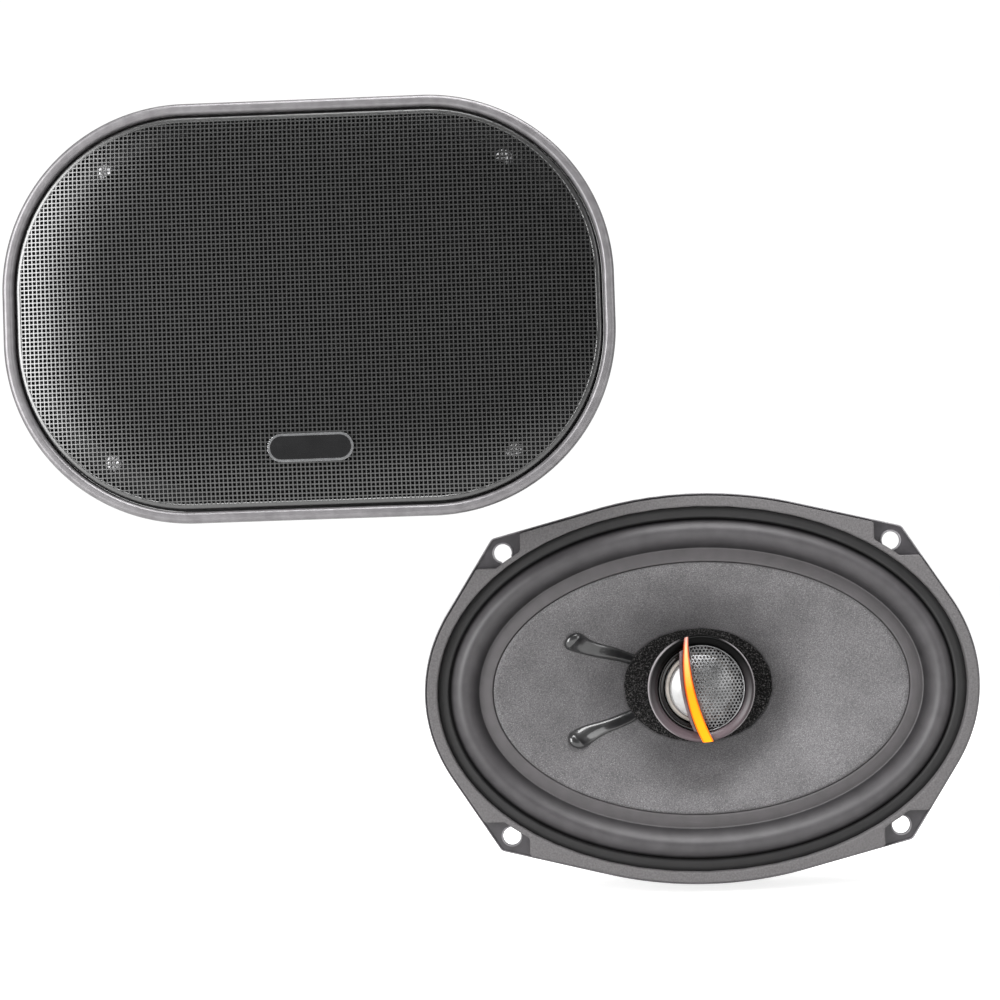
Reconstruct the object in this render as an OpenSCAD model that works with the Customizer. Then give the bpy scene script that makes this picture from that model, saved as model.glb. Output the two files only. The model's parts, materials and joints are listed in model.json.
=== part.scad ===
// Oval coaxial car speaker, 6 x 9 inch class, with its grille standing off beside it.
// The speaker axis is horizontal and the front faces -Y. The origin is the centre of the
// flange's rear seat. The pieces are drawn with +Z to the front and turned once by facing().

/* [Cone and surround] */
// Half width of the oval cone edge
cone_a = 89.5; // [86:0.5:92]
// Half height of the oval cone edge
cone_b = 54.25; // [52:0.25:57]
// Depth from the cone edge to the neck
cone_depth = 30; // [28:1:32]
// Flat inner ledge of the surround
ledge_w = 6.4; // [5:0.1:7]
// Width of the surround's half roll
roll_w = 12.2; // [11:0.1:13]
// Height of the half roll
roll_h = 5; // [4:0.1:5.2]

/* [Flange and gasket] */
// Land between the roll and the gasket
land_w = 5.6; // [5:0.1:6]
// Width of the gasket
gasket_w = 4.4; // [4:0.1:5]
// Bare metal edge outside the gasket
edge_w = 1.2; // [1:0.1:1.5]
// Thickness of the flange plate
flange_t = 1.5; // [1.2:0.1:2]
// Thickness of the gasket
gasket_t = 5; // [4:0.5:5]
// Mounting hole spacing across the width
hole_x = 167; // [166:0.5:168]
// Mounting hole spacing across the height
hole_y = 122; // [121:0.5:123]
// Radius of a mounting hole
hole_r = 3.8; // [3.5:0.1:4]
// Radius of the rounded ear round each hole
ear_r = 3.2; // [3:0.1:4]

/* [Basket] */
// Width of a basket leg
leg_w = 15; // [12:1:16]
// Outside radius of the basket cup
cup_r = 53; // [52:0.5:54]
// Height of the spider landing
landing_z = -39; // [-40:0.5:-38]
// Height of the inside of the cup floor
floor_z = -50; // [-51:0.5:-49]

/* [Motor] */
// Inside radius of the voice coil former
coil_r = 16.1; // [16:0.1:16.5]
// Radius of the ferrite magnet
magnet_r = 47; // [45:1:50]
// Thickness of the ferrite magnet
magnet_t = 14; // [12:1:16]
// Radius of the steel plates
plate_r = 43; // [41:1:44]

/* [Tweeter] */
// Radius of the bezel
bezel_r = 23; // [22:0.5:24]
// Radius of the bezel's opening
mouth_r = 18.7; // [18.5:0.1:19]
// Height of the bezel's face
bezel_z = 4.5; // [4:0.5:5]
// Radius of the tweeter dome
dome_r = 13.4; // [13:0.1:13.6]
// Radius of the centre post
post_r = 6; // [5.5:0.5:6.5]

/* [Grille] */
// Width of the grille
grille_w = 255; // [253:1:257]
// Height of the grille
grille_h = 175; // [174:1:177]
// Corner radius of the grille
grille_r = 77.5; // [76:0.5:78]
// Width of the trim ring's face
trim_w = 4.8; // [4:0.1:5]
// How far the grille stands to the left of its seat
park_x = 160; // [155:1:165]
// How far the grille stands above its seat
park_z = 165; // [160:1:170]
// How far the grille stands in front of its seat
park_y = 30; // [30:1:40]

/* [Hidden] */

$fn = 96;
eps = 0.01;
steps = 72;             // stations round an oval
fit_gap = 0.3;          // gap between pieces that only pass each other

// Offsets outwards from the cone edge
roll_in = ledge_w;
roll_out = ledge_w + roll_w;
gasket_in = roll_out + land_w;
gasket_out = gasket_in + gasket_w;
flange_out = gasket_out + edge_w;
flange_in = roll_out + 0.8;
rim_t = 1.6;            // thickness of the basket's rim wall
rim_h = 7;              // depth of the basket's rim wall

// Heights, from the flange's rear seat
gasket_z = flange_t + gasket_t;
foot_t = 0.9;           // thickness of the surround's outer foot
skin_t = 0.9;           // thickness of the surround and of the cone
edge_z = -0.6;          // front of the ledge, at the cone edge
neck_z = edge_z - cone_depth;
sheet_t = 1.5;          // thickness of the basket's steel
cup_bore = 22;          // hole in the cup's floor
landing_w = 8;          // width of the ledge that the spider is glued to
rivet_r = 2.5;
board_rivet_r = 1.5;
plate_t = 5.5;          // thickness of the motor's plates
top_plate_z = floor_z - sheet_t;
magnet_z = top_plate_z - plate_t;
back_plate_z = magnet_z - magnet_t;
back_z = back_plate_z - plate_t;

// Voice coil
former_t = 0.4;
former_r = coil_r + former_t;
coil_t = 0.7;
coil_h = 9.5;
coil_z = magnet_z - 2;  // bottom of the winding
former_z = coil_z - 1;  // bottom of the former
gap_bore = 17.9;        // bore of the top plate
pole_r = 15.6;
pole_bore = 3.4;        // wire passage through the post and the pole
felt_edge = 0.78;       // where the felt is glued, from the cone edge 0 to the neck 1
felt_bore = 7.2;        // hole in the felt, round the post
cone_curve = 1.5;       // how the cone's wall steepens towards the neck

// Legs, in pairs on both sides of the two axes
leg_angles = [24, 62, 118, 156, 204, 242, 298, 336];

// Tweeter
cup_floor_z = -10;
screen_z = 2.6;         // flat rim of the screen
screen_h = 5.2;         // height of the screen's dome
screen_t = 0.6;
dome_z = -1;            // foot of the dome
dome_h = 4.2;
dome_t = 0.3;
yoke_r = 15.4;
yoke_t = 1.4;
yoke_z = cup_floor_z + 2.6;
slug_t = 2.2;           // thickness of the tweeter's magnet
ring_z = -2.6;          // underside of the ring round the dome
shell_r = 21.5;         // where the bezel closes round the cup
shell_z = -1.4;
blade_z = 8.6;          // highest point of the accent blade
blade_foot = 3.9;       // its underside, clear of the dome
blade_crown = 90;       // radius of the blade's crowned front
rail_w = 1.5;           // width of the rail along the blade
rail_h = 2.6;
blade_left = [64.2, 9, 72];       // centre x, y and radius of the blade's left edge
blade_right = [91.15, 19, 96.3];  // and of its right edge

// Terminals, on the left side of the cup
board_x = -cup_r;
board_t = 2;
tab_y = 9;              // half the distance between the two tabs
rivet_z = floor_z + 8;
can_r = 4;              // radius of the capacitor
strap_r = can_r + 0.7;
cap_x = board_x - board_t - strap_r - 0.1;   // axis of the capacitor
cap_z = floor_z + 7;
tab_t = 0.8;

// Grille
seat_z = gasket_z + fit_gap;
frame_t = 1.6;
trim_z = seat_z + 8.6;  // front of the trim ring
mesh_t = 0.9;
mesh_top = seat_z + 11; // front of the mesh, in the middle
mesh_low = seat_z + 7.2;
mesh_inset = trim_w + 0.9;
mesh_foot = seat_z + frame_t;
stud_r = 1.8;           // radius of the grille's rivets
mesh_run = 40;          // how far in from its edge the mesh still rises
mesh_bend = 2.4;        // how steeply it turns down at its edge
badge_w = 35.6;
badge_h = 11.7;
badge_y = -57.7;

// Routes of the leads, each point chosen by hand, +Z to the front
lead_route = [[-55, 19.3, -9.3], [-55.6, 19, -13], [-58, 17, -20], [-60.8, 14, -27],
    [-61.5, 11.6, -34], [-59.8, 9.8, -39.5], [-57.6, 9.2, -41.7]];
wire_route = [[0, 0, -7.6], [0, 0, -20], [0, 0, -40], [0, 0, -60], [0, 0, -76], [-1, 0, -79],
    [-3.5, 0, -80.9], [-7.5, 0, -80.9], [-11.5, 0, -79.2], [-16, 0, -77.9], [-28, 0, -77.9],
    [-40, 0, -78], [-44, 0, -78.2], [-47.2, 0, -76.4], [-48.6, 0, -72.5], [-48.6, 0, -66], [-48.8, 0, -59],
    [-51.5, 0, -54], [-55.8, 0, -50.8], [-57.6, 0, -47.8]];

// Point of an oval offset outwards by d, at the normal angle a
function oval_reach(a) = sqrt(pow(cone_a * cos(a), 2) + pow(cone_b * sin(a), 2));
function oval(d, a) = [cone_a * cone_a * cos(a) / oval_reach(a) + d * cos(a),
    cone_b * cone_b * sin(a) / oval_reach(a) + d * sin(a)];
function oval_loop(d) = [for (i = [0:steps - 1]) oval(d, i * 360 / steps)];

// The same oval pulled out over the four ears, as their convex outline
ear_x = hole_x / 2 + 2.7;   // centre of the ear's rounded corner, outside its hole
ear_y = hole_y / 2 + 3.45;
function ear(a) = [sign(cos(a)) * ear_x, sign(sin(a)) * ear_y];
function ear_reach(a, r) = abs(cos(a)) * ear_x + abs(sin(a)) * ear_y + r;
function eared(d, r, a) = ear_reach(a, r) > oval_reach(a) + d
    ? ear(a) + r * [cos(a), sin(a)] : oval(d, a);
function eared_loop(d, r) = [for (i = [0:2 * steps - 1]) eared(d, r, (i + 0.5) * 180 / steps)];

// Point of the cone: t runs from its edge, 0, to its neck, 1
function blend(p, q, t) = p * (1 - t) + q * t;
function cone_xy(t, a) = blend(oval(0, a), former_r * [cos(a), sin(a)], t);
function cone_z(t) = edge_z - cone_depth * pow(t, cone_curve);
function cone_ring(t, z) = [for (i = [0:steps - 1]) let (p = cone_xy(t, i * 360 / steps))
    [p[0], p[1], z]];

// Point of the grille's rounded outline, pulled in by e
function track(e, a) = [sign(cos(a)) * (grille_w / 2 - grille_r) + (grille_r - e) * cos(a),
    sign(sin(a)) * (grille_h / 2 - grille_r) + (grille_r - e) * sin(a)];
function track_ring(e, z) = [for (i = [0:steps - 1]) let (p = track(e, (i + 0.5) * 360 / steps))
    [p[0], p[1], z]];
function mesh_z(e) = let (u = min((e - mesh_inset) / mesh_run, 1))
    mesh_low + (mesh_top - mesh_low) * (1 - pow(1 - u, mesh_bend));

// Turns local +Z to the front of the speaker
module facing() { rotate([90, 0, 0]) children(); }

// Puts the grille's pieces where they stand
module parked() { translate([-park_x, -park_y, park_z]) facing() children(); }

// Closed solid through rings of points; closed_tube joins the last ring to the first
module skin(rings, closed_tube = false) {
    n = len(rings[0]);
    m = len(rings);
    walls = [for (j = [0:m - (closed_tube ? 1 : 2)], i = [0:n - 1])
        let (k = (j + 1) % m, h = (i + 1) % n)
        each [[j * n + i, k * n + h, j * n + h], [j * n + i, k * n + i, k * n + h]]];
    caps = closed_tube ? [] : [[for (i = [0:n - 1]) i], [for (i = [n - 1:-1:0]) (m - 1) * n + i]];
    polyhedron([for (r = rings) each r], concat(walls, caps));
}

// Tube of radius r along a route
module tube(route, r, sides = 8) {
    n = len(route);
    function unit(v) = v / norm(v);
    function side(t) = unit(cross(t, abs(t[1]) < 0.9 ? [0, 1, 0] : [1, 0, 0]));
    skin([for (i = [0:n - 1])
        let (t = unit(route[min(i + 1, n - 1)] - route[max(i - 1, 0)]), u = side(t), v = cross(t, u))
        [for (k = [0:sides - 1]) route[i] - r * (cos(k * 360 / sides) * u + sin(k * 360 / sides) * v)]]);
}

module ring(r_out, r_in, h, z) {
    translate([0, 0, z]) difference() {
        cylinder(r = r_out, h = h);
        translate([0, 0, -1]) cylinder(r = r_in, h = h + 2);
    }
}

// Slab with an outline between two offsets of the oval
module oval_band(d_out, d_in, h, z) {
    translate([0, 0, z]) linear_extrude(h) difference() {
        polygon(oval_loop(d_out));
        polygon(oval_loop(d_in));
    }
}

// The mounting holes: round, with a flat side towards the cone
module mount_holes(h) {
    notch_w = 4.8;
    for (sx = [-1, 1], sy = [-1, 1]) translate([sx * hole_x / 2, sy * hole_y / 2, -1]) {
        cylinder(r = hole_r, h = h);
        rotate([0, 0, atan2(-sy * 0.9, -sx * 0.5)]) translate([0, -notch_w / 2, 0])
            cube([hole_r + 1.1, notch_w, h]);
    }
}

// The four rivets that hold the cup to the top plate
module at_rivets() {
    for (a = [45:90:315]) rotate([0, 0, a]) translate([33, 0, 0]) children();
}

// ---- basket ----
function leg_top(a) = let (p = cone_a + flange_in + rim_t, q = cone_b + flange_in + rim_t)
    p * q / sqrt(pow(q * cos(a), 2) + pow(p * sin(a), 2));
leg_foot = floor_z - sheet_t + 0.5;
leg_in = cup_r - sheet_t / 2;    // inside face of a leg, within the cup's wall
function leg_line(r, out) = [[r + out, 0.6], [r + out, -rim_h - 0.5],
    [cup_r + 1 + out, landing_z], [cup_r + out, landing_z - 4], [cup_r + out, leg_foot],
    [leg_in, leg_foot], [leg_in, landing_z - 0.5], [r - 1.2, -rim_h + 0.4], [r - 1.2, 0.6]];

module leg(a) {
    rib_t = 1.4;
    rotate([0, 0, a]) rotate([90, 0, 0]) {
        translate([0, 0, -leg_w / 2]) linear_extrude(leg_w) polygon(leg_line(leg_top(a), 0.2));
        for (s = [-1, 1]) translate([0, 0, s * (leg_w - rib_t) / 2 - rib_t / 2])
            linear_extrude(rib_t) polygon(leg_line(leg_top(a), 2.6));
    }
}

module basket() color("#1d1d1f") facing() difference() {
    union() {
        linear_extrude(flange_t) difference() {
            polygon(eared_loop(flange_out, ear_r));
            polygon(oval_loop(flange_in));
        }
        oval_band(flange_in + rim_t, flange_in, rim_h + eps, -rim_h);
        for (a = leg_angles) leg(a);
        rotate_extrude() polygon([[cup_r, landing_z], [cup_r, floor_z - sheet_t],
            [cup_bore, floor_z - sheet_t], [cup_bore, floor_z], [cup_r - sheet_t, floor_z],
            [cup_r - sheet_t, landing_z - sheet_t], [cup_r - landing_w, landing_z - sheet_t],
            [cup_r - landing_w, landing_z]]);
    }
    mount_holes(flange_t + 2);
    for (s = [-1, 1]) translate([-cup_r, s * tab_y, rivet_z]) rotate([0, 90, 0])
        cylinder(r = board_rivet_r, h = 8, center = true);
    at_rivets() translate([0, 0, floor_z - 5]) cylinder(r = rivet_r, h = 10);
}

// The gasket is cut away round each ear, down to a thin strip beside the land
cut_size = 30;
cut_x = 7.6;            // how far the cut reaches from the hole towards the middle
cut_y = 6.5;
cut_strip = 2.3;        // width of the strip that stays
module gasket() color("#55585a") facing() translate([0, 0, flange_t]) linear_extrude(gasket_t)
    difference() {
        polygon(eared_loop(gasket_out, ear_r - edge_w));
        polygon(oval_loop(gasket_in));
        difference() {
            for (sx = [-1, 1], sy = [-1, 1])
                translate([sx * (hole_x / 2 + cut_size / 2 - cut_x),
                    sy * (hole_y / 2 + cut_size / 2 - cut_y)]) square(cut_size, center = true);
            polygon(oval_loop(gasket_in + cut_strip));
        }
    }

// ---- moving cone ----
function roll_z(u) = blend(edge_z, flange_t + foot_t, u) + roll_h * sin(180 * u);
function arch(n, drop) = [for (k = [0:n]) let (u = (1 - cos(180 * k / n)) / 2)
    [roll_in + roll_w * u, roll_z(u) - drop * (1 - 0.15 * sin(180 * u))]];
function arch_back(n, drop) = let (line = arch(n, drop)) [for (k = [n:-1:0]) line[k]];
surround_line = concat([[0.4, edge_z]], arch(12, 0),
    [[gasket_in - fit_gap, flange_t + foot_t], [gasket_in - fit_gap, flange_t], [flange_in, flange_t]],
    arch_back(12, skin_t), [[0.4, edge_z - skin_t]]);

module surround() color("#47484a") facing() skin(closed_tube = true,
    [for (p = surround_line) [for (q = oval_loop(p[0])) [q[0], q[1], p[1]]]]);

cone_rows = [0, 0.06, 0.16, 0.3, 0.45, 0.6, 0.75, 0.88, 1];
cone_t = 1.3;
module cone() color("#6c6a6c") facing() skin(closed_tube = true,
    concat([for (t = cone_rows) cone_ring(t, cone_z(t))],
        [for (k = [len(cone_rows) - 1:-1:0]) cone_ring(cone_rows[k], cone_z(cone_rows[k]) - cone_t)]));

// Bowl of black felt from the cone's wall in to the post
function felt_ring(s, drop) = [for (i = [0:steps - 1]) let (a = i * 360 / steps,
    p = blend(cone_xy(felt_edge, a), felt_bore * [cos(a), sin(a)], s))
    [p[0], p[1], cone_z(felt_edge) + fit_gap + 0.9 - 4.5 * sin(90 * s) - drop]];
felt_rows = [0, 0.2, 0.45, 0.7, 1];
module dust_felt() color("#1b1b1c") facing() skin(closed_tube = true,
    concat([for (s = felt_rows) felt_ring(s, 0)],
        [for (k = [len(felt_rows) - 1:-1:0]) felt_ring(felt_rows[k], 0.9)]));

module voice_coil_former() color("#c9a66b") facing()
    ring(former_r, coil_r, neck_z + 2 - former_z, former_z);

module voice_coil_winding() color("#b4642d") facing() ring(former_r + coil_t, former_r, coil_h, coil_z);

// Corrugated cloth disc, glued to the former and to the landing
spider_waves = 5;
function spider_wave(r) = let (lo = former_r + 3, hi = cup_r - 9)
    r < lo || r > hi ? 0 : 1.5 * sin(360 * spider_waves * (r - lo) / (hi - lo));
spider_radii = [for (k = [0:48]) former_r + (cup_r - sheet_t - fit_gap - former_r) * k / 48];
module spider() color("#8a7442") facing() rotate_extrude()
    polygon(concat([for (r = spider_radii) [r, landing_z + 0.7 + spider_wave(r)]],
        [for (k = [48:-1:0]) let (r = spider_radii[k]) [r, landing_z + spider_wave(r)]]));

// Shiny glue over each coil wire: a drop at the lead's end and a tail down to the felt
glue_from = 0.30;       // where the drop starts, from the cone edge 0 to the neck 1
glue_to = 0.82;         // where the tail ends, under the felt
drop_share = 0.13;      // share of the run up to the middle of the drop
drop_w = 4.5;           // half widths at the drop, the felt and the tip
tail_w = 2.5;
tip_w = 1.2;
glue_h = 1.2;
drop_h = 0.9;           // how much higher the drop stands
glue_turn = [45.5, 33.5];   // how far a run is turned from the cone's left, at its two ends
function drop_rise(s) = sin(90 * s / drop_share);
function tail_left(s) = (1 - s) / (1 - drop_share);
function glue_w(s) = s < drop_share ? blend(tip_w, drop_w, sqrt(drop_rise(s)))
    : blend(tail_w, drop_w, pow(tail_left(s), 1.5));
function glue_top(s) = glue_h + drop_h * (s < drop_share ? drop_rise(s) : pow(tail_left(s), 4));
function glue_ring(t, a, w, h) = [for (u = [0:36:324])
    let (c = cone_xy(t, a) + w * cos(u) * [-sin(a), cos(a)])
    [c[0], c[1], cone_z(t) + 0.4 + h * sin(u)]];
module lead_glue(sy) color("#0c0c0d") facing()
    skin([for (s = [0:0.0625:1])
        glue_ring(blend(glue_from, glue_to, s), 180 - sy * blend(glue_turn[0], glue_turn[1], s),
            glue_w(s), glue_top(s))]);
module lead_glue_upper() lead_glue(1);
module lead_glue_lower() lead_glue(-1);

module tinsel_lead(sy) color("#b98a4a") facing() tube([for (p = lead_route) [p[0], sy * p[1], p[2]]], 0.7);
module tinsel_lead_upper() tinsel_lead(1);
module tinsel_lead_lower() tinsel_lead(-1);

// ---- motor ----
module top_plate() color("#8d9094") facing() difference() {
    ring(plate_r, gap_bore, plate_t, magnet_z);
    at_rivets() translate([0, 0, magnet_z - 1]) cylinder(r = rivet_r, h = plate_t + 2);
}

module magnet() color("#3a3a3d") facing() ring(magnet_r, 26, magnet_t, back_plate_z);

module back_plate() color("#8d9094") facing() difference() {
    ring(plate_r, pole_bore, plate_t, back_z);
    translate([0, 0, back_z - 1]) cylinder(r = 8.4, h = 2.4);
}

module pole_piece() color("#9a9da0") facing()
    ring(pole_r, pole_bore, floor_z - back_plate_z, back_plate_z);

module motor_rivets() color("#a9abad") facing() at_rivets() {
    translate([0, 0, magnet_z]) cylinder(r = rivet_r, h = floor_z - magnet_z);
    translate([0, 0, floor_z]) cylinder(r = 4.2, h = 1);
}

// ---- terminals and crossover ----
module terminal_board() color("#6e4a2a") facing() difference() {
    translate([board_x - board_t, -14, floor_z + 1]) cube([board_t, 28, 12]);
    for (s = [-1, 1]) translate([board_x - 3, s * tab_y, rivet_z]) rotate([0, 90, 0])
        cylinder(r = board_rivet_r, h = 5);
}

// Push-on tab, bent outwards from the board
module terminal(y, w) {
    x = board_x - board_t;
    translate([x - tab_t, y - w / 2, floor_z + 1.5]) cube([tab_t, w, 11]);
    translate([x - 11, y - w / 2, floor_z + 1.5]) difference() {
        cube([11, w, tab_t]);
        translate([3.5, w / 2, -1]) cylinder(r = 0.9, h = 3);
    }
}
module terminal_positive() color("#c9b26a") facing() difference() {
    terminal(tab_y, 6.3);
    translate([board_x - 4, tab_y, rivet_z]) rotate([0, 90, 0]) cylinder(r = board_rivet_r, h = 5);
}
module terminal_negative() color("#c9b26a") facing() difference() {
    terminal(-tab_y, 4.8);
    translate([board_x - 4, -tab_y, rivet_z]) rotate([0, 90, 0]) cylinder(r = board_rivet_r, h = 5);
}

module terminal_rivets() color("#c7c7c2") facing() for (s = [-1, 1])
    translate([board_x - board_t - tab_t, s * tab_y, rivet_z]) rotate([0, 90, 0]) {
        cylinder(r = board_rivet_r, h = tab_t + board_t + 2.4);
        translate([0, 0, -0.9]) cylinder(r = 2.4, h = 0.9);
    }

module crossover_capacitor() color("#2c4f8f") facing() {
    translate([cap_x, -5.5, cap_z]) rotate([-90, 0, 0]) cylinder(r = can_r, h = 11);
    for (s = [-1, 1]) tube([[cap_x, s * 5, cap_z], [cap_x, s * 6.5, cap_z],
        [cap_x + 0.4, s * 8, cap_z - 1], [cap_x + 1.6, s * 9, cap_z - 2.2],
        [board_x - board_t - tab_t, s * 9.2, cap_z - 3]], 0.4, 6);
}

module capacitor_strap() color("#d8d8d2") facing() translate([cap_x, 1.5, cap_z])
    rotate([-90, 0, 0]) difference() {
        union() {
            cylinder(r = strap_r, h = 3);
            translate([0, -strap_r, 0]) cube([board_x - board_t - cap_x, 2 * strap_r, 3]);
        }
        translate([0, 0, -1]) cylinder(r = can_r, h = 5);
    }

// ---- tweeter ----
module tweeter_post() color("#b5b7ba") facing() union() {
    ring(post_r, pole_bore - 1.2, cup_floor_z - floor_z, floor_z);
    ring(pole_bore, pole_bore - 1.2, floor_z - back_z + 1.4, back_z - 1.4);
}

module post_nut() color("#c4c6c8") facing() difference() {
    translate([0, 0, back_z - 2.6]) cylinder(r = 7, h = 4, $fn = 6);
    translate([0, 0, back_z - 4]) cylinder(r = pole_bore, h = 8);
}

module tweeter_lead() color("#a02020") facing() tube(wire_route, 1.2);

module tweeter_cup() color("#161618") facing() rotate_extrude()
    polygon([[pole_bore, cup_floor_z], [9, cup_floor_z], [16, cup_floor_z + 1.5], [20.6, -5],
        [shell_r - 0.1, -2.4], [shell_r - 0.1, shell_z], [19.4, shell_z], [19, -3.4],
        [yoke_r + fit_gap, -6.5], [yoke_r + fit_gap, yoke_z], [pole_bore, yoke_z]]);

module tweeter_yoke() color("#9a9da0") facing() rotate_extrude()
    polygon([[0, yoke_z], [yoke_r, yoke_z], [yoke_r, ring_z], [dome_r - 0.2, ring_z],
        [dome_r - 0.2, yoke_z + yoke_t], [0, yoke_z + yoke_t]]);

module tweeter_magnet() color("#bfc2c4") facing()
    translate([0, 0, yoke_z + yoke_t]) cylinder(r = 10.5, h = slug_t);

module tweeter_pole_plate() color("#9a9da0") facing()
    translate([0, 0, yoke_z + yoke_t + slug_t]) cylinder(r = 11.6, h = 1.4);

module tweeter_coil() color("#b4642d") facing() ring(12.7, 12.1, 3.2, dome_z - 3.2);

// Shell of a spherical cap with its foot on the given height
module cap_shell(r, h, t, z) {
    big = (r * r + h * h) / (2 * h);
    translate([0, 0, z]) intersection() {
        translate([0, 0, h - big]) difference() {
            sphere(r = big);
            sphere(r = big - t);
        }
        cylinder(r = r, h = h + 1);
    }
}

module tweeter_dome() color("#e9e9e6") facing() union() {
    cap_shell(dome_r - 0.6, dome_h, dome_t, dome_z);
    ring(dome_r - 0.2, 11.9, dome_t, dome_z);
}

module dome_ring() color("#b9b7b2") facing() rotate_extrude()
    polygon([[dome_r + fit_gap, ring_z], [18.4, ring_z], [18.4, -0.6], [15.8, -0.6], [15.2, 0.2],
        [dome_r + fit_gap, 0.2]]);

module tweeter_bezel() color("#0e0e10") facing() rotate_extrude()
    polygon([[21.8, -2.4], [22.4, -2], [bezel_r, 0], [bezel_r, bezel_z - 1.2],
        [bezel_r - 0.5, bezel_z - 0.4], [bezel_r - 1.3, bezel_z], [mouth_r + 1.4, bezel_z - 0.9],
        [mouth_r + 0.2, bezel_z - 2], [mouth_r, -0.6], [mouth_r, shell_z], [shell_r, shell_z],
        [shell_r, -2.4]]);

// Perforated cover over the right of the mouth, a flat rim round a shallow dome
module tweeter_screen() color("#8f9092") facing() intersection() {
    union() {
        cap_shell(14.6, screen_h, screen_t, screen_z);
        ring(mouth_r - 0.1, 14.4, screen_t, screen_z);
    }
    linear_extrude(12) blade_edge(blade_right, 0.2);
}

module blade_edge(edge, shift = 0) {
    translate([edge[0] + shift, edge[1]]) circle(r = edge[2], $fn = 180);
}

module accent_blade() color("#ff9d00") facing() intersection() {
    linear_extrude(12) intersection() {
        circle(r = bezel_r);
        difference() {
            blade_edge(blade_left);
            blade_edge(blade_right);
        }
    }
    translate([0, 0, blade_z - blade_crown]) sphere(r = blade_crown, $fn = 180);
    translate([0, 0, blade_foot]) cylinder(r = bezel_r, h = 12);
}

// Rail that stands inside the mouth, along the left of the blade
module blade_rail() color("#55484e") facing() translate([0, 0, blade_foot]) linear_extrude(rail_h)
    intersection() {
        circle(r = mouth_r - 0.2);
        difference() {
            blade_edge(blade_left, -rail_w);
            blade_edge(blade_left, -0.1);
        }
    }

// ---- grille ----
module at_corners() {
    for (sx = [-1, 1], sy = [-1, 1]) translate([sx * hole_x / 2, sy * hole_y / 2, 0]) children();
}

module track_2d(e) {
    for (sx = [-1, 1], sy = [-1, 1])
        translate([sx * (grille_w / 2 - grille_r), sy * (grille_h / 2 - grille_r)])
            circle(r = grille_r - e, $fn = 120);
    square([grille_w - 2 * e, grille_h - 2 * grille_r], center = true);
    square([grille_w - 2 * grille_r, grille_h - 2 * e], center = true);
}

module grille_frame() color("#17171a") parked() difference() {
    translate([0, 0, seat_z]) linear_extrude(frame_t) difference() {
        track_2d(trim_w + 0.1);
        polygon(oval_loop(gasket_in + 0.5));
    }
    at_corners() translate([0, 0, seat_z - 1]) cylinder(r = stud_r + 0.05, h = frame_t + 2);
}

// Ring with a rounded front edge, made of thin steps
trim_steps = [[0, seat_z, trim_z - 1.8], [0.35, trim_z - 1.8, trim_z - 0.8], [1.1, trim_z - 0.8, trim_z]];
module grille_trim() color("#7d8083") parked() for (s = trim_steps)
    translate([0, 0, s[1]]) linear_extrude(s[2] - s[1]) difference() {
        track_2d(s[0]);
        track_2d(trim_w - (s[0] > 1 ? 0.7 : 0));
    }

// Crowned sheet whose edge turns down to the frame
mesh_rows = [for (e = [0, 3, 8, 16, mesh_run]) mesh_inset + e];
function mesh_back(e) = track_ring(e + mesh_t, mesh_z(e) - mesh_t);
module grille_mesh() color("#2b2b2d") parked()
    skin(concat([for (k = [len(mesh_rows) - 1:-1:0]) mesh_back(mesh_rows[k])],
        [track_ring(mesh_inset + mesh_t, mesh_foot), track_ring(mesh_inset, mesh_foot)],
        [for (e = mesh_rows) track_ring(e, mesh_z(e))]));

module grille_rivets() color("#d0d2d4") parked() at_corners() {
    translate([0, 0, seat_z + 0.3]) cylinder(r = stud_r, h = 3);
    translate([0, 0, mesh_foot]) cylinder(r = 4, h = 1.4);
}

module pill(w, h, t, z) {
    translate([0, badge_y, z]) linear_extrude(t) union() {
        square([w - h, h], center = true);
        for (s = [-1, 1]) translate([s * (w - h) / 2, 0]) circle(r = h / 2);
    }
}
module badge_rim() color("#c9ccd0") parked() difference() {
    pill(badge_w, badge_h, 2.4, mesh_top - 1);
    pill(badge_w - 2, badge_h - 2, 4, mesh_top);
}
module badge_face() color("#101014") parked() pill(badge_w - 2, badge_h - 2, 1.8, mesh_top);

basket();
gasket();
surround();
cone();
dust_felt();
voice_coil_former();
voice_coil_winding();
spider();
lead_glue_upper();
lead_glue_lower();
tinsel_lead_upper();
tinsel_lead_lower();
top_plate();
magnet();
back_plate();
pole_piece();
motor_rivets();
terminal_board();
terminal_positive();
terminal_negative();
terminal_rivets();
crossover_capacitor();
capacitor_strap();
tweeter_post();
post_nut();
tweeter_lead();
tweeter_cup();
tweeter_yoke();
tweeter_magnet();
tweeter_pole_plate();
tweeter_coil();
tweeter_dome();
dome_ring();
tweeter_bezel();
tweeter_screen();
accent_blade();
blade_rail();
grille_frame();
grille_trim();
grille_mesh();
grille_rivets();
badge_rim();
badge_face();
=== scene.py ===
import json
import math

import bmesh
import bpy
import numpy as np
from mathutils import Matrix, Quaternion, Vector


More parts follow.
